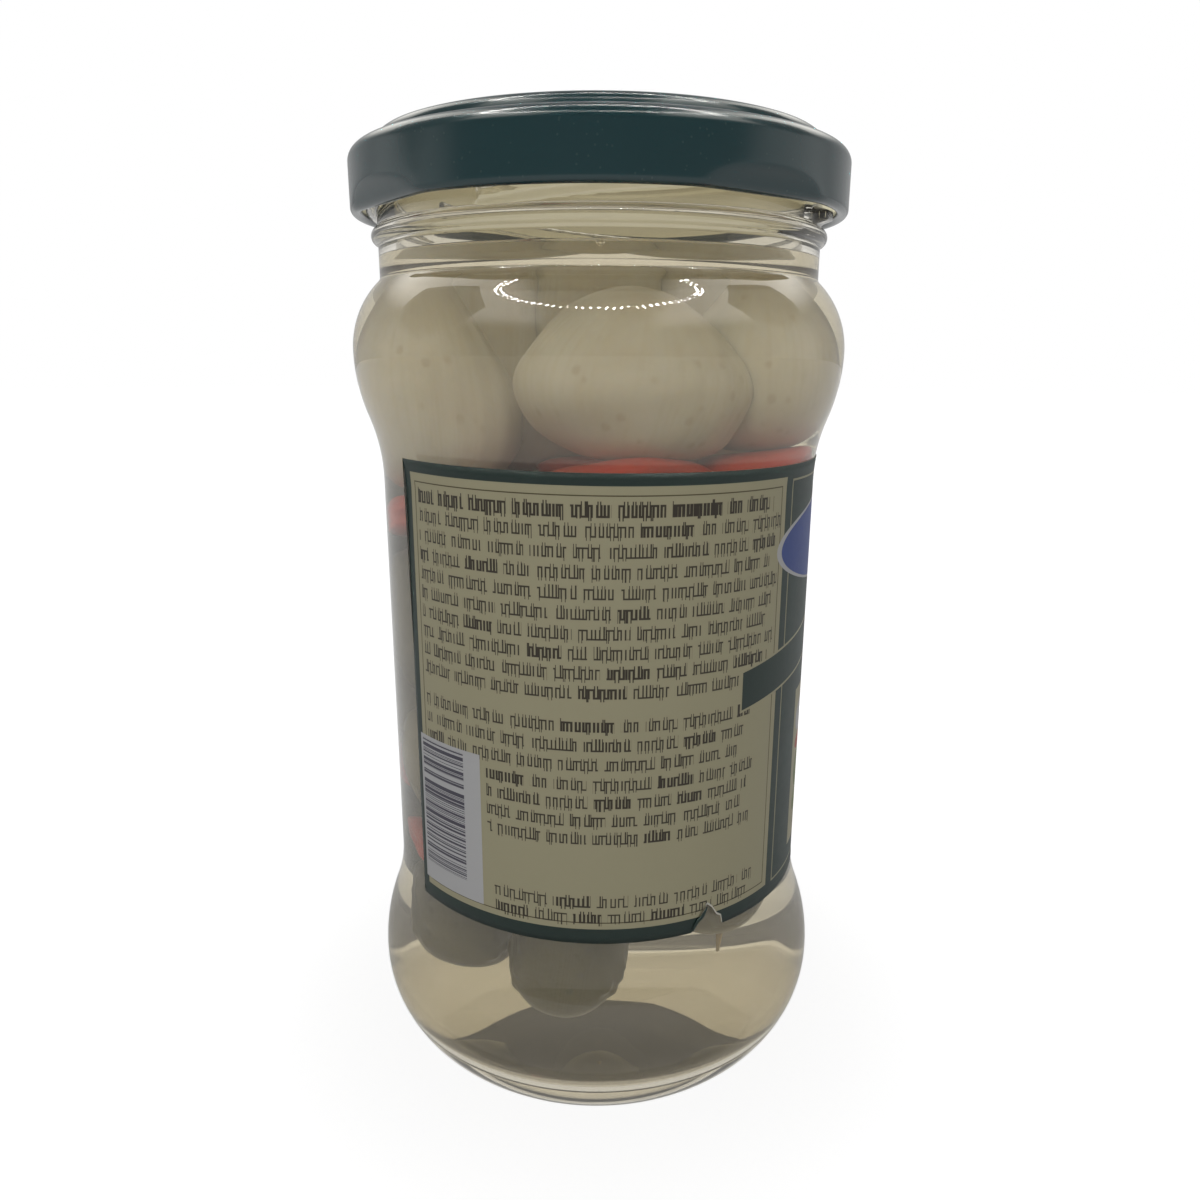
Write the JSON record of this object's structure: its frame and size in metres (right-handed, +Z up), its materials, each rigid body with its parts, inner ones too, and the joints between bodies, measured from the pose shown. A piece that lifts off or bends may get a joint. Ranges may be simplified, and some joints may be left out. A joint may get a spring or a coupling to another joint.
{
  "type": "jar of pickle skewers",
  "caption": "Shut twist-off glass jar with a ringed heel and shoulder, a green metal lid, a wrap-round paper label, and pickle skewers standing in clear brine.",
  "frame": {"origin": "centre of the bounding box at the height of the foot, on the jar's axis", "axes": "+Z up along the jar's axis; the printed back panel with the ingredients faces -Y and the front panel faces +X"},
  "size_m": [0.071, 0.071, 0.136],
  "materials": {
    "clear_glass": "clear and smooth",
    "green_enamel": "gloss",
    "label_paper": "satin printed paper",
    "brine": "clear liquid",
    "onion": "wet, slightly translucent",
    "pepper": "wet and smooth",
    "gherkin": "wet and warty",
    "olive": "wet and smooth",
    "toothpick": "plain wet wood"
  },
  "bodies": {
    "root": {"jar": "clear_glass", "lid": "green_enamel", "label": "label_paper", "brine": "brine"}
  },
  "joints": []
}
